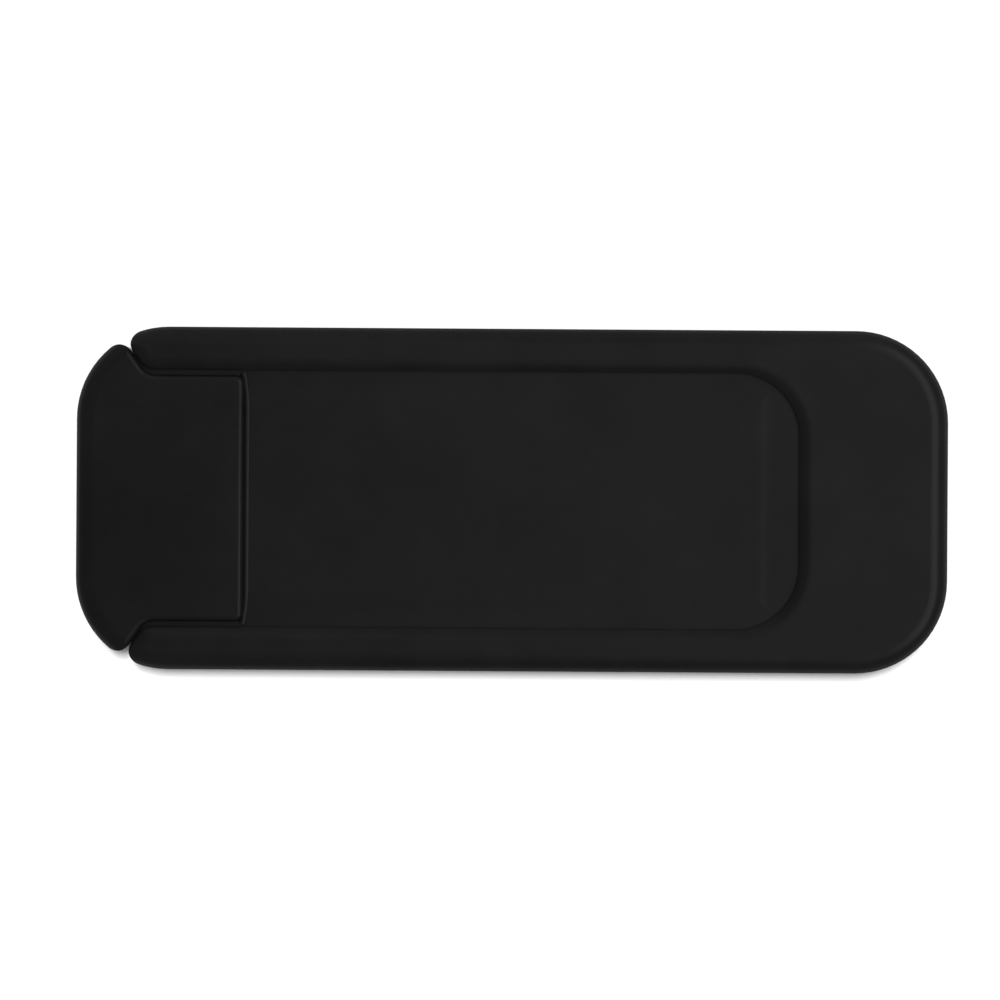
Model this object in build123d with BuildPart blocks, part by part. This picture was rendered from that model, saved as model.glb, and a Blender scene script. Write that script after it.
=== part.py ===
"""Webcam cover slider: a moulded U-frame on adhesive tape, with a T-shaped slider that shuts its window.

Millimetres. The cover lies on its adhesive face: the origin is under its middle, +Z is up, and +X runs
along the slide towards the frame's closed end. The slider is modelled pushed in, with the window shut.
"""
from build123d import *

import os
from math import radians, sin, sqrt, tan

# The closed cover
length = 43.5
width = 17.1
corner_radius = 4.6
tape_thickness = 0.3
body_thickness = 2.5
edge_radius = 1.1
edge_trim = 0.2
underside_edge = 0.2

# The frame: the window between its rails, and the flared mouth at its open end
rail_width = 2.13
closed_end = 7.4
window_corner = 3.2
window_edge = 0.9
window_trim = 0.3
mouth_depth = 3.4
mouth_angle = 55.0
mouth_corner = 0.85
rail_tip = 0.7

# The slide groove in the rails, which runs on into the closed end as a pocket
ledge_thickness = 1.1
groove_height = 1.05
groove_depth = 1.05
pocket_depth = 1.5
pocket_corner = 1.0

# The slider: finger tab, the fine ridge along the tab's edge, and the tongue that shuts the window
tab_length = 8.37
tab_edge = 0.28
tab_corner = 0.4
tab_ear = 0.7
tab_lift = 0.12
ridge_radius = 0.25
ridge_height = 0.04
ridge_offset = 0.11
ridge_straight = 9.2
ridge_bow = 0.18
tongue_corner = 0.8

# The pad: the tongue's middle, raised a little, with a soft slope along its sides and its end
pad_height = 0.04
pad_slope = 0.9
pad_side_border = 0.75
pad_end_border = 1.32

# Fits between the two mouldings
slide_fit = 0.06
tab_gap = 0.28
ridge_gap = 0.15
split_gap = 0.06
tongue_side_gap = 0.4
end_gap = 0.2

# The stop: lugs on the tongue's sides meet beads in the grooves when the slider is fully out
travel = 15.0
bead_radius = 0.5
bead_height = 0.3
bead_inset = 2.0
lug_height = 0.3
lug_length = 0.6
lug_lead = 1.0
stop_gap = 0.05

# The adhesive tape, set in from the edges of the frame's underside
tape_inset = 0.35

# Places that follow from the sizes above
left_end = -length / 2
right_end = length / 2
base = tape_thickness
flare = radians(mouth_angle)
window_half = width / 2 - rail_width
window_end = right_end - closed_end
mouth_x = left_end + mouth_depth
groove_bottom = base + ledge_thickness
groove_half = window_half + groove_depth
tongue_bottom = groove_bottom + slide_fit
tongue_top = groove_bottom + groove_height - slide_fit
tongue_half = groove_half - tongue_side_gap
tongue_start = mouth_x - groove_depth
pocket_end = window_end + pocket_depth
tongue_end = pocket_end - end_gap
pad_top = tongue_top + pad_height
pad_half = window_half - pad_side_border
pad_end = window_end - pad_end_border
tab_bottom = base + tab_lift
tab_end = left_end + tab_length
ridge_x = tab_end + ridge_offset
ridge_z = pad_top + ridge_height - ridge_radius
ridge_half = window_half - ridge_gap
lug_half = tongue_half + lug_height
bead_x = mouth_x + bead_inset
bead_centre = groove_half - bead_height + bead_radius
bead_reach = sqrt(bead_radius**2 - (bead_centre - lug_half) ** 2)
lug_x = bead_x + bead_reach + stop_gap + travel


def channel_plan(side_gap, split, end_x, end_corner, inner_corner):
    """Plan of the frame's channel, drawn in by side_gap along the rails and by split along the flare."""
    half = window_half - side_gap
    corner_x = mouth_x + side_gap / tan(flare) - split / sin(flare)
    rise = width / 2
    run = rise / tan(flare)
    with BuildSketch() as plan:
        with BuildLine():
            Polyline(
                (end_x, half),
                (corner_x, half),
                (corner_x - run, half + rise),
                (corner_x - run, -half - rise),
                (corner_x, -half),
                (end_x, -half),
                close=True,
            )
        make_face()
        fillet(plan.vertices().group_by(Axis.X)[-1], end_corner)
        fillet(plan.vertices().group_by(Axis.X)[1], inner_corner)
    return plan.sketch


def tongue_section(start, pad_limit, end):
    """Section of the tongue from start to end, with the pad's soft slope coming down at pad_limit."""
    crest = pad_limit - pad_slope
    middle = ((crest + pad_limit) / 2, (pad_top + tongue_top) / 2)
    with BuildSketch() as section:
        with BuildLine():
            upper = TangentArc((crest, pad_top), middle, tangent=(1, 0))
            TangentArc(middle, (pad_limit, tongue_top), tangent=upper % 1)
            Polyline(
                (pad_limit, tongue_top),
                (end, tongue_top),
                (end, tongue_bottom),
                (start, tongue_bottom),
                (start, pad_top),
                (crest, pad_top),
            )
        make_face()
    return section.sketch


frame_channel = channel_plan(0, 0, window_end, window_corner, mouth_corner)
edge_channel = channel_plan(
    window_trim,
    window_trim,
    window_end - window_trim,
    window_corner - window_trim,
    mouth_corner + window_trim,
)
tab_channel = channel_plan(tab_gap, split_gap, tab_end, tab_corner, mouth_corner + split_gap)

# Both mouldings share one blank with soft edges, so that they close to one smooth outline. The edges are
# rounded while it is oversize: trimming it stops each rounding short of upright, at a crisp shoulder.
with BuildPart() as blank:
    with BuildSketch(Plane.XY.offset(base)):
        RectangleRounded(length + 2 * edge_trim, width + 2 * edge_trim, corner_radius + edge_trim)
    extrude(amount=body_thickness)
    fillet(blank.edges().group_by(Axis.Z)[-1], edge_radius)
    with BuildSketch(Plane.XY.offset(base)):
        RectangleRounded(length, width, corner_radius)
    extrude(amount=body_thickness, mode=Mode.INTERSECT)
    fillet(blank.edges().group_by(Axis.Z)[0], underside_edge)

# The frame: the channel's edge is rounded in an oversize plate in the same way, and the blank trims it
with BuildPart() as frame:
    with BuildSketch(Plane.XY.offset(base)):
        Rectangle(length + 2 * edge_radius, width + 2 * edge_radius)
        add(edge_channel, mode=Mode.SUBTRACT)
    extrude(amount=body_thickness)
    top_edges = frame.edges().group_by(Axis.Z)[-1]
    channel_edges = top_edges.filter_by(lambda e: abs(e.center().Y) < width / 2 and e.center().X < right_end)
    fillet(channel_edges, window_edge)
    with BuildSketch(Plane.XY.offset(base)) as frame_plan:
        RectangleRounded(length, width, corner_radius)
        add(frame_channel, mode=Mode.SUBTRACT)
        fillet(frame_plan.vertices().group_by(Axis.X)[0], rail_tip)
    extrude(amount=body_thickness, mode=Mode.INTERSECT)
    add(blank.part, mode=Mode.INTERSECT)

    # Slide groove, open at the mouth; its end is the pocket that takes the tongue's end
    with BuildSketch(Plane.XY.offset(groove_bottom)) as groove_plan:
        with Locations((left_end, 0)):
            Rectangle(pocket_end - left_end, 2 * groove_half, align=(Align.MIN, Align.CENTER))
        fillet(groove_plan.vertices().group_by(Axis.X)[-1], pocket_corner)
    extrude(amount=groove_height, mode=Mode.SUBTRACT)

    # Stop beads on the grooves' walls
    with BuildSketch(Plane.XY.offset(groove_bottom)):
        with Locations((bead_x, bead_centre), (bead_x, -bead_centre)):
            Circle(bead_radius)
    extrude(amount=groove_height)

# The tab: its edges along the split are rounded while it is oversize, then the blank trims it
with BuildPart() as tab:
    with BuildSketch(Plane.XY.offset(tab_bottom)):
        add(tab_channel)
    extrude(amount=body_thickness - tab_lift)
    fillet(tab.edges().group_by(Axis.Z)[-1], tab_edge)
    fillet(tab.edges().group_by(Axis.Z)[0], tab_edge)
    with BuildSketch(Plane.XY.offset(base)) as tab_plan:
        RectangleRounded(length, width, corner_radius)
        add(tab_channel, mode=Mode.INTERSECT)
        ears = tab_plan.vertices().sort_by(Axis.Y)
        fillet([ears[0], ears[-1]], tab_ear)
    extrude(amount=body_thickness, mode=Mode.INTERSECT)
    add(blank.part, mode=Mode.INTERSECT)

# The tongue: a flat shutter; its side view and its end view together leave the raised pad
with BuildPart() as tongue:
    with BuildSketch(Plane.XZ):
        add(tongue_section(tongue_start, pad_end, tongue_end))
    extrude(amount=tongue_half, both=True)
    with BuildSketch(Plane.YZ.offset(tongue_start)):
        add(tongue_section(0, pad_half, tongue_half))
        mirror(about=Plane.YZ)
    extrude(amount=tongue_end - tongue_start, mode=Mode.INTERSECT)
    fillet(tongue.edges().filter_by(Axis.Z).group_by(Axis.X)[-1], tongue_corner)

# The slider: the tab that fills the mouth and the tongue that runs in the grooves, moulded as one
with BuildPart() as slider:
    add(tab.part)
    add(tongue.part)

    # Ridge: a round bead sunk in the tongue beside the tab, drawn back towards the tab at its two ends
    with BuildLine() as ridge_path:
        middle = Line((ridge_x, -ridge_straight / 2, ridge_z), (ridge_x, ridge_straight / 2, ridge_z))
        TangentArc(middle @ 1, (ridge_x - ridge_bow, ridge_half, ridge_z), tangent=(0, 1))
        TangentArc(middle @ 0, (ridge_x - ridge_bow, -ridge_half, ridge_z), tangent=(0, -1))
    ridge_line = ridge_path.wires()[0]
    with BuildSketch(Plane(ridge_line @ 0, z_dir=ridge_line % 0)):
        Circle(ridge_radius)
    sweep(path=ridge_line)

    # Lugs on the tongue's sides: square towards the mouth to catch the beads, sloped to snap in past them
    with BuildSketch(Plane.XY.offset(tongue_bottom)):
        with BuildLine():
            Polyline(
                (lug_x, 0),
                (lug_x, lug_half),
                (lug_x + lug_length, lug_half),
                (lug_x + lug_length + lug_lead, tongue_half),
                (lug_x + lug_length + lug_lead, 0),
                close=True,
            )
        make_face()
        mirror(about=Plane.XZ)
    extrude(amount=tongue_top - tongue_bottom)

# The tape: one die-cut U under the rails and the closed end
with BuildPart() as adhesive_tape:
    with BuildSketch():
        add(frame_plan.sketch_local)
        offset(amount=-tape_inset, mode=Mode.REPLACE)
    extrude(amount=tape_thickness)

os.makedirs("parts", exist_ok=True)
frame.part.label = "frame"
export_step(frame.part, "parts/frame.step")
slider.part.label = "slider"
export_step(slider.part, "parts/slider.step")
adhesive_tape.part.label = "adhesive_tape"
export_step(adhesive_tape.part, "parts/adhesive_tape.step")
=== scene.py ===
"""Looks of the webcam cover slider: black moulded ABS on foam tape, seen from straight above."""
import math

import bpy
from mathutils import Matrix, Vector


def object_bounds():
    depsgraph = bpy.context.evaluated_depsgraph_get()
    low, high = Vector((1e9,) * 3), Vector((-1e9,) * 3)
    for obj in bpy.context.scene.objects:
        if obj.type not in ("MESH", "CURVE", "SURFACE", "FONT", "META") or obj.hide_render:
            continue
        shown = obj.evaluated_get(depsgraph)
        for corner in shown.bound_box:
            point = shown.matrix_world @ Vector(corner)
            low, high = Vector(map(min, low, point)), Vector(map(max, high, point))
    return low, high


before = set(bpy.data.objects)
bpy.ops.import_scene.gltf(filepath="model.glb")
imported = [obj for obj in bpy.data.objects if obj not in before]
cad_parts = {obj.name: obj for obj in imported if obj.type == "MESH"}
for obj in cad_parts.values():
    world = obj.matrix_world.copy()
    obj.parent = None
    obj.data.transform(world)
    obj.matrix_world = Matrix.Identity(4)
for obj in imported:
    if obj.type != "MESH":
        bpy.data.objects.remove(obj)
cad_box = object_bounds()

MM = 0.001

# Camera: straight above the cover, a little left of its middle and turned by a fraction of a degree
PICTURE_WIDTH = 49.79 * MM
CAMERA_HEIGHT = 170.0 * MM
CAMERA_NEAR = 1.7 * MM
CAMERA_OFFSET = -0.6 * MM
CAMERA_ROLL = math.radians(0.37)

# Studio: white paper on a table just below the tape, a backdrop around it, and the room's dim light
PAPER_WHITE = "#fafafa"
TABLE_SIZE = 3.0
TABLE_DROP = 0.01 * MM
BACKDROP_START = 1.2
BACKDROP_REACH = 2.6
BACKDROP_HEIGHT = 0.65
BACKDROP_SIDES = 64
ROOM_WHITE = "#ffffff"
ROOM_LIGHT = 0.39

# Black ABS: its pigment goes from dark to pale between two levels of the flow clouds
ABS_DARK = "#101011"
ABS_PALE = "#18181a"
DARK_LEVEL = 0.3
PALE_LEVEL = 0.7

# Black ABS: its flow clouds, with their size in millimetres and how ragged they are
FLOW_CLOUD = 5.0
FLOW_DETAIL = 6.0
FLOW_RAGGEDNESS = 0.65

# Black ABS: its spark grain, with the size of a pit in millimetres, and its depth
SPARK_GRAIN = 0.12
SPARK_DETAIL = 2.0
SPARK_DEPTH = 0.01 * MM
SPARK_STRENGTH = 0.15

# Black ABS: how its skin takes the light, and how much its roughness drifts with the flow clouds
ABS_IOR = 1.54
ABS_SPECULAR = 0.1
ABS_ROUGHNESS = 0.32
ABS_GLOSS_DRIFT = 0.02

# Where thumbs rub the tab: centre and radius in millimetres, and how much smoother its middle is
THUMB_CENTRE = (-19.5, -1.0, 2.8)
THUMB_RADIUS = 9.0
THUMB_POLISH = 0.15

# Foam tape: colours at the middle and the wall of a cell, its size in millimetres, and its depth
FOAM_CELL_MIDDLE = "#2a2a2a"
FOAM_CELL_WALL = "#1c1c1c"
FOAM_CELL = 0.15
FOAM_CELL_DEPTH = 0.05 * MM
FOAM_CELL_STRENGTH = 0.5
FOAM_ROUGHNESS = 0.85


def linear(hex_colour):
    """Linear RGBA of an sRGB colour written as hex."""
    channels = [int(hex_colour[i:i + 2], 16) / 255 for i in (1, 3, 5)]
    return [c / 12.92 if c <= 0.04045 else ((c + 0.055) / 1.055) ** 2.4 for c in channels] + [1.0]


def add_node(tree, kind, inputs=None, **settings):
    """Adds a shader node with its settings; each input is a plain value or another node's output."""
    node = tree.nodes.new(kind)
    for name, value in settings.items():
        setattr(node, name, value)
    for name, value in (inputs or {}).items():
        if isinstance(value, bpy.types.NodeSocket):
            tree.links.new(value, node.inputs[name])
        else:
            node.inputs[name].default_value = value
    return node


def per_metre(size_mm):
    """Texture scale that gives a pattern this size in millimetres."""
    return 1 / (size_mm * MM)


def new_material(name):
    """Empty material and its node tree."""
    material = bpy.data.materials.new(name)
    material.use_nodes = True
    material.node_tree.nodes.clear()
    return material, material.node_tree


def black_abs(name, flow_seed, thumb_rubbed=False):
    """Black ABS, injection-moulded in a spark-eroded tool.

    The eye sees a dull satin black: fine pits scatter the light, so that only rounded edges catch a soft
    bright line, and the pigment lies in faint clouds where the melt flowed. Where thumbs rub it, the pits
    are worn a little smoother, and it looks darker from above.
    """
    material, tree = new_material(name)
    place = add_node(tree, "ShaderNodeTexCoord").outputs["Object"]
    clouds = add_node(
        tree, "ShaderNodeTexNoise",
        {"Vector": place, "W": flow_seed, "Scale": per_metre(FLOW_CLOUD),
         "Detail": FLOW_DETAIL, "Roughness": FLOW_RAGGEDNESS},
        noise_dimensions="4D",
    ).outputs["Fac"]
    tone = add_node(tree, "ShaderNodeValToRGB", {"Fac": clouds})
    dark, pale = tone.color_ramp.elements
    dark.position = DARK_LEVEL
    dark.color = linear(ABS_DARK)
    pale.position = PALE_LEVEL
    pale.color = linear(ABS_PALE)
    rough = add_node(
        tree, "ShaderNodeMapRange",
        {"Value": clouds, "From Min": DARK_LEVEL, "From Max": PALE_LEVEL,
         "To Min": ABS_ROUGHNESS - ABS_GLOSS_DRIFT, "To Max": ABS_ROUGHNESS + ABS_GLOSS_DRIFT},
    ).outputs["Result"]
    if thumb_rubbed:
        from_thumb = add_node(
            tree, "ShaderNodeMapping",
            {"Vector": place, "Location": Vector(THUMB_CENTRE) * MM, "Scale": [THUMB_RADIUS * MM] * 3},
            vector_type="TEXTURE",
        ).outputs["Vector"]
        wear = add_node(
            tree, "ShaderNodeTexGradient", {"Vector": from_thumb}, gradient_type="SPHERICAL",
        ).outputs["Fac"]
        rough = add_node(
            tree, "ShaderNodeMath", {0: wear, 1: -THUMB_POLISH, 2: rough}, operation="MULTIPLY_ADD",
        ).outputs["Value"]

    # Real spark pits are 0.02 to 0.06 mm across: they are drawn coarser, so that they show from close by
    grain = add_node(
        tree, "ShaderNodeTexNoise",
        {"Vector": place, "Scale": per_metre(SPARK_GRAIN), "Detail": SPARK_DETAIL},
    )
    relief = add_node(
        tree, "ShaderNodeBump",
        {"Height": grain.outputs["Fac"], "Strength": SPARK_STRENGTH, "Distance": SPARK_DEPTH},
    )

    # The pits swallow most of the mirror light, so the specular level is a fifth of a polished skin's
    skin = add_node(
        tree, "ShaderNodeBsdfPrincipled",
        {"Base Color": tone.outputs["Color"], "Roughness": rough, "Normal": relief.outputs["Normal"],
         "IOR": ABS_IOR, "Specular IOR Level": ABS_SPECULAR},
    )
    add_node(tree, "ShaderNodeOutputMaterial", {"Surface": skin.outputs["BSDF"]})
    return material


def foam_tape():
    """Black acrylic foam tape, die-cut: a dull, dry grey-black with small open cells along its cut edge."""
    material, tree = new_material("acrylic_foam_die_cut")
    place = add_node(tree, "ShaderNodeTexCoord").outputs["Object"]
    cells = add_node(
        tree, "ShaderNodeTexVoronoi", {"Vector": place, "Scale": per_metre(FOAM_CELL)},
    ).outputs["Distance"]
    tone = add_node(tree, "ShaderNodeValToRGB", {"Fac": cells})
    middle, wall = tone.color_ramp.elements
    middle.color = linear(FOAM_CELL_MIDDLE)
    wall.color = linear(FOAM_CELL_WALL)
    relief = add_node(
        tree, "ShaderNodeBump",
        {"Height": cells, "Strength": FOAM_CELL_STRENGTH, "Distance": FOAM_CELL_DEPTH},
    )
    foam = add_node(
        tree, "ShaderNodeBsdfPrincipled",
        {"Base Color": tone.outputs["Color"], "Roughness": FOAM_ROUGHNESS,
         "Normal": relief.outputs["Normal"]},
    )
    add_node(tree, "ShaderNodeOutputMaterial", {"Surface": foam.outputs["BSDF"]})
    return material


def dress(node, material):
    """Gives a CAD node its finish through its own material slot."""
    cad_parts[node].material_slots[0].material = material


def white_paper():
    """White background paper, uncoated: an even matte white, which keeps the cover's soft shadow."""
    material, tree = new_material("paper_white_uncoated")
    matte = add_node(tree, "ShaderNodeBsdfDiffuse", {"Color": linear(PAPER_WHITE)})
    add_node(tree, "ShaderNodeOutputMaterial", {"Surface": matte.outputs["BSDF"]})
    return material


def table_top(paper):
    """Flat table under the cover."""
    bpy.ops.mesh.primitive_plane_add(size=TABLE_SIZE, location=(0, 0, -TABLE_DROP))
    table = bpy.context.object
    table.name = "table"
    table.data.materials.append(paper)
    return table


def backdrop(paper):
    """Slope that rises from the table on all sides, so that a low view ends in white too.

    Only the camera sees it: it neither lights the cover nor shows in its gloss.
    """
    bpy.ops.mesh.primitive_cone_add(
        vertices=BACKDROP_SIDES, radius1=BACKDROP_START, radius2=BACKDROP_REACH, depth=BACKDROP_HEIGHT,
        end_fill_type="NOTHING", location=(0, 0, BACKDROP_HEIGHT / 2 - TABLE_DROP),
    )
    slope = bpy.context.object
    slope.name = "backdrop"
    slope.visible_diffuse = False
    slope.visible_glossy = False
    slope.visible_shadow = False
    slope.data.materials.append(paper)
    return slope


def dim_room():
    """Even, dim light from the whole room."""
    world = bpy.data.worlds.new("dim_room")
    world.use_nodes = True
    tree = world.node_tree
    tree.nodes.clear()
    room = add_node(tree, "ShaderNodeBackground", {"Color": linear(ROOM_WHITE), "Strength": ROOM_LIGHT})
    add_node(tree, "ShaderNodeOutputWorld", {"Surface": room.outputs["Background"]})
    bpy.context.scene.world = world


def lit_group(name, objects):
    """Collection that a lamp can be kept to."""
    group = bpy.data.collections.new(name)
    for lit in objects:
        group.objects.link(lit)
    return group


def softbox(name, group, tilt, azimuth, distance, width, height, power):
    """Area lamp that lights one group only, in metres and watts, aimed at the cover's middle.

    Tilt is from straight up and azimuth from +X towards +Y, in degrees. Height lies along the tilt.
    """
    lamp = bpy.data.lights.new(name, "AREA")
    lamp.shape = "RECTANGLE"
    lamp.size = width
    lamp.size_y = height
    lamp.energy = power
    holder = bpy.data.objects.new(name, lamp)
    tilt = math.radians(tilt)
    azimuth = math.radians(azimuth)
    way = Vector((math.sin(tilt) * math.cos(azimuth), math.sin(tilt) * math.sin(azimuth), math.cos(tilt)))
    holder.location = way * distance
    holder.rotation_mode = "QUATERNION"
    holder.rotation_quaternion = way.to_track_quat("Z", "Y")
    holder.light_linking.receiver_collection = group
    bpy.context.scene.collection.objects.link(holder)


def camera_above():
    """Camera looking straight down on the cover, set as the scene's own."""
    lens = bpy.data.cameras.new("camera")
    lens.lens = lens.sensor_width * CAMERA_HEIGHT / PICTURE_WIDTH
    lens.clip_start = CAMERA_NEAR
    holder = bpy.data.objects.new("camera", lens)
    holder.location = (CAMERA_OFFSET, 0, cad_box[1].z + CAMERA_HEIGHT)
    holder.rotation_euler = (0, 0, CAMERA_ROLL)
    bpy.context.scene.collection.objects.link(holder)
    bpy.context.scene.camera = holder


dress("frame", black_abs("abs_frame_spark_textured", flow_seed=0.0))
dress("slider", black_abs("abs_slider_spark_textured", flow_seed=3.0, thumb_rubbed=True))
dress("adhesive_tape", foam_tape())

paper = white_paper()
table = lit_group("lit_table", [table_top(paper), backdrop(paper)])
cover = lit_group("lit_cover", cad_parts.values())
dim_room()

# High on the right: the bright lines along the rounded edges, the ridge and the end of the pad
softbox("softbox_right", cover, tilt=33, azimuth=8, distance=0.31, width=0.38, height=0.15, power=0.50)

# Overhead, right of the middle: the glow on the flat faces, which fades towards the tab
softbox("softbox_overhead", cover, tilt=2.5, azimuth=15, distance=0.22, width=0.40, height=0.06, power=0.061)

# Low beyond the upper rail: a little light along that rail's outer rounding
softbox("softbox_top", cover, tilt=60, azimuth=95, distance=0.40, width=0.50, height=0.25, power=0.17)

# The table's own lamp, hung high to light it evenly; the cover's soft shadow falls below the lower rail
softbox("table_lamp", table, tilt=8, azimuth=90, distance=4.00, width=0.33, height=0.80, power=135)

camera_above()
bpy.context.scene.view_settings.view_transform = "Standard"
